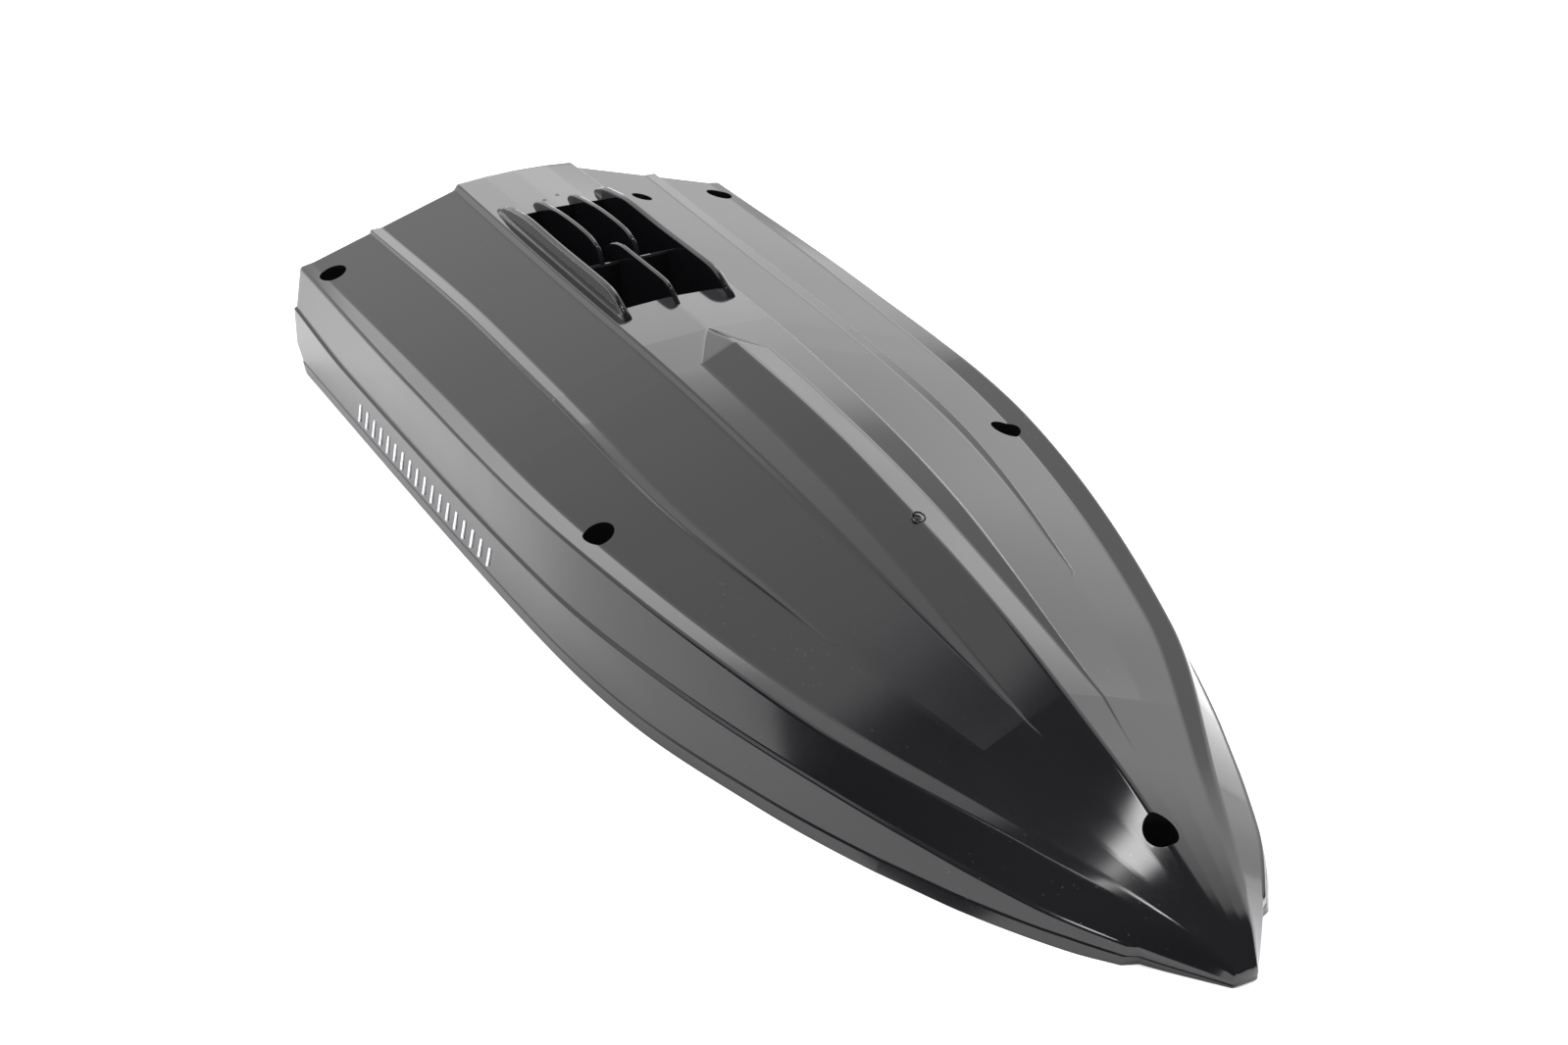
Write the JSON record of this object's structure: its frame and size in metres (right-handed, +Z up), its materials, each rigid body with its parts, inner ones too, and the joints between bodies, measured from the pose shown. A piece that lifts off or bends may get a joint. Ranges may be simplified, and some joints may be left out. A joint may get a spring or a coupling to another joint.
{
  "type": "model jet boat hull",
  "caption": "Model racing jet boat lower hull resting keel up on its rim, with grilled water intake, jet pump, motor, steering nozzle, servo, battery and cooling hoses inside.",
  "frame": {"origin": "centre of the whole box in plan, on the plane of the hull rim", "axes": "+X from the transom to the bow, +Y to the side that shows the round water hole, +Z up through the keel, as the hull lies bottom up"},
  "size_m": [0.3224, 0.119, 0.0431],
  "materials": {
    "gloss_black": "glossy moulded ABS",
    "satin_black": "satin moulded nylon",
    "rubber": "matt black rubber and black lead insulation",
    "steel": "turned and plated steel",
    "aluminium": "machined, clear",
    "brass": "turned brass",
    "servo_blue": "translucent-look blue moulding",
    "battery_wrap": "shrink wrap",
    "ivory_nylon": "natural nylon",
    "red_pvc": "red connector and lead insulation",
    "foam": "soft closed-cell foam",
    "webbing": "woven hook-and-loop strap",
    "silicone_hose": "milky silicone tube"
  },
  "bodies": {
    "hull": {"hull_shell": "gloss_black", "intake_duct": "satin_black", "pump_housing": "satin_black", "stator_nozzle": "satin_black", "motor_endbell": "satin_black", "battery_tray": "satin_black", "receiver_box": "satin_black", "pushrod_gaiter": "rubber", "battery_lead_black": "rubber", "motor_lead_black": "rubber", "shaft_tube": "steel", "motor_can": "steel", "duct_screw_port": "steel", "duct_screw_starboard": "steel", "pump_screw_1": "steel", "pump_screw_2": "steel", "pump_screw_3": "steel", "pump_screw_4": "steel", "mount_screw_port": "steel", "mount_screw_starboard": "steel", "motor_screw_port": "steel", "motor_screw_starboard": "steel", "servo_screw_rear": "steel", "servo_screw_front": "steel", "nozzle_pivot_upper": "steel", "nozzle_pivot_lower": "steel", "motor_water_jacket": "aluminium", "motor_mount": "aluminium", "stator_bush": "brass", "shaft_bush_rear": "brass", "shaft_bush_front": "brass", "motor_terminal_port": "brass", "motor_terminal_starboard": "brass", "water_inlet": "brass", "water_outlet": "brass", "servo_case": "servo_blue", "battery_pack": "battery_wrap", "controller_socket": "ivory_nylon", "servo_lead": "ivory_nylon", "battery_plug": "red_pvc", "battery_lead_red": "red_pvc", "motor_lead_red": "red_pvc", "receiver_foam": "foam", "battery_strap": "webbing", "inlet_hose": "silicone_hose", "outlet_hose": "silicone_hose"},
    "rotor": {"drive_shaft": "steel", "impeller": "brass", "impeller_nut": "steel", "shaft_coupling": "aluminium", "coupling_screw_rear": "steel", "coupling_screw_front": "steel", "motor_shaft": "steel"},
    "nozzle": {"steering_nozzle": "satin_black"},
    "servo_arm": {"servo_horn": "ivory_nylon", "servo_horn_screw": "steel"},
    "rod": {"pushrod": "steel"}
  },
  "joints": [
    {"name": "shaft_spin", "type": "hinge", "parent": "hull", "child": "rotor", "pos_m": [0, 0, 0.019], "axis": [1, 0, 0], "continuous": true},
    {"name": "nozzle_swing", "type": "hinge", "parent": "hull", "child": "nozzle", "pos_m": [-0.14825, 0, 0.019], "axis": [0, 0, 1], "range_deg": [-22, 22]},
    {"name": "servo_turn", "type": "hinge", "parent": "hull", "child": "servo_arm", "pos_m": [-0.09925, -0.0246, 0.008], "axis": [0, 0, 1], "range_deg": [-22, 22]},
    {"name": "rod_pivot", "type": "hinge", "parent": "servo_arm", "child": "rod", "pos_m": [-0.09925, -0.0366, 0.0045], "axis": [0, 0, 1], "range_deg": [-22, 22]}
  ],
  "couplings": [
    {"joint": "servo_turn", "follows": "nozzle_swing", "ratio": 1},
    {"joint": "rod_pivot", "follows": "nozzle_swing", "ratio": -1}
  ]
}
